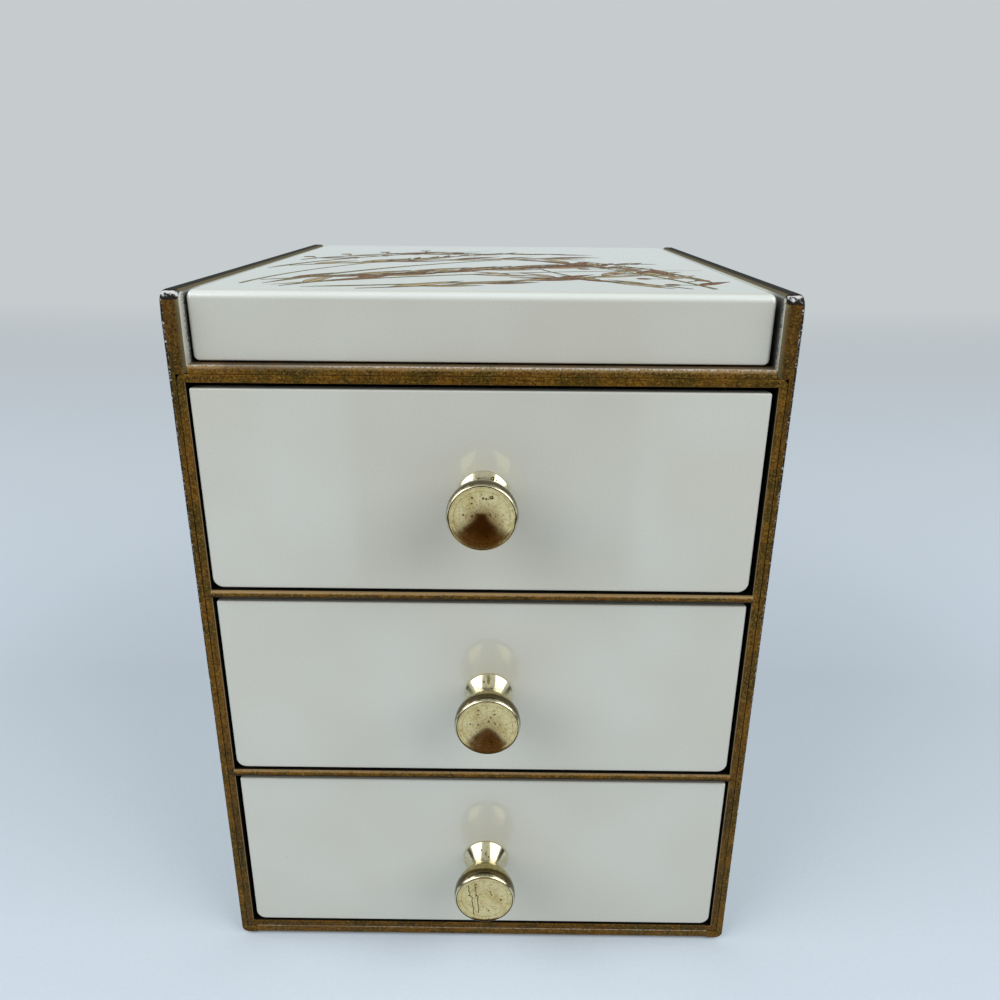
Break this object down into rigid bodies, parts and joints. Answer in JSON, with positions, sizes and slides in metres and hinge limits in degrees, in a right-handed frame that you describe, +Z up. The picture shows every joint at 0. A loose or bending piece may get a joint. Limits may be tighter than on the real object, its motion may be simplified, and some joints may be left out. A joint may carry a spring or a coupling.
{
  "type": "desktop mini drawers",
  "caption": "Small desktop chest with sliding drawers under a lift-up lid set between raised side panels; cream fronts, bronze edges and round brass knobs.",
  "frame": {"origin": "centre of the chest's footprint, on the surface that it stands on", "axes": "+X to the right as one faces the drawers, -Y out of the drawer fronts, +Z up"},
  "size_m": [0.108, 0.1292, 0.142],
  "materials": {
    "cream_lacquer": "smooth cream lacquer with a soft gloss; the front edges are painted bronze",
    "bronze_paint": "brushed bronze-gold paint over a dark ground, worn through on the edges",
    "black_plastic": "moulded black plastic with a fine texture",
    "lining_felt": "short brown flock lining",
    "base_felt": "thin black felt",
    "brass": "turned and polished, with fine turning rings and small pits",
    "zinc_steel": "bright zinc plate",
    "mirror": "silvered glass"
  },
  "bodies": {
    "cabinet": {"left_side_panel": "cream_lacquer", "right_side_panel": "cream_lacquer", "bottom_panel": "bronze_paint", "back_panel": "cream_lacquer", "deck": "bronze_paint", "upper_frame": "bronze_paint", "middle_frame": "bronze_paint", "lower_frame": "bronze_paint", "base_felt": "base_felt", "deck_felt": "lining_felt", "left_hinge_pin": "brass", "right_hinge_pin": "brass"},
    "lid": {"lid_shell": "cream_lacquer", "lid_mirror": "mirror"},
    "upper_drawer": {"upper_front": "cream_lacquer", "upper_tray": "black_plastic", "upper_felt": "lining_felt", "upper_knob": "brass", "upper_knob_screw": "zinc_steel"},
    "middle_drawer": {"middle_front": "cream_lacquer", "middle_tray": "black_plastic", "middle_felt": "lining_felt", "middle_knob": "brass", "middle_knob_screw": "zinc_steel"},
    "lower_drawer": {"lower_front": "cream_lacquer", "lower_tray": "black_plastic", "lower_felt": "lining_felt", "lower_knob": "brass", "lower_knob_screw": "zinc_steel"}
  },
  "joints": [
    {"name": "lid_hinge", "type": "hinge", "parent": "cabinet", "child": "lid", "pos_m": [0, 0.0527, 0.1359], "axis": [-1, 0, 0], "range_deg": [0, 92]},
    {"name": "upper_drawer_slide", "type": "slide", "parent": "cabinet", "child": "upper_drawer", "axis": [0, -1, 0], "range_m": [0, 0.09]},
    {"name": "middle_drawer_slide", "type": "slide", "parent": "cabinet", "child": "middle_drawer", "axis": [0, -1, 0], "range_m": [0, 0.09]},
    {"name": "lower_drawer_slide", "type": "slide", "parent": "cabinet", "child": "lower_drawer", "axis": [0, -1, 0], "range_m": [0, 0.09]}
  ]
}
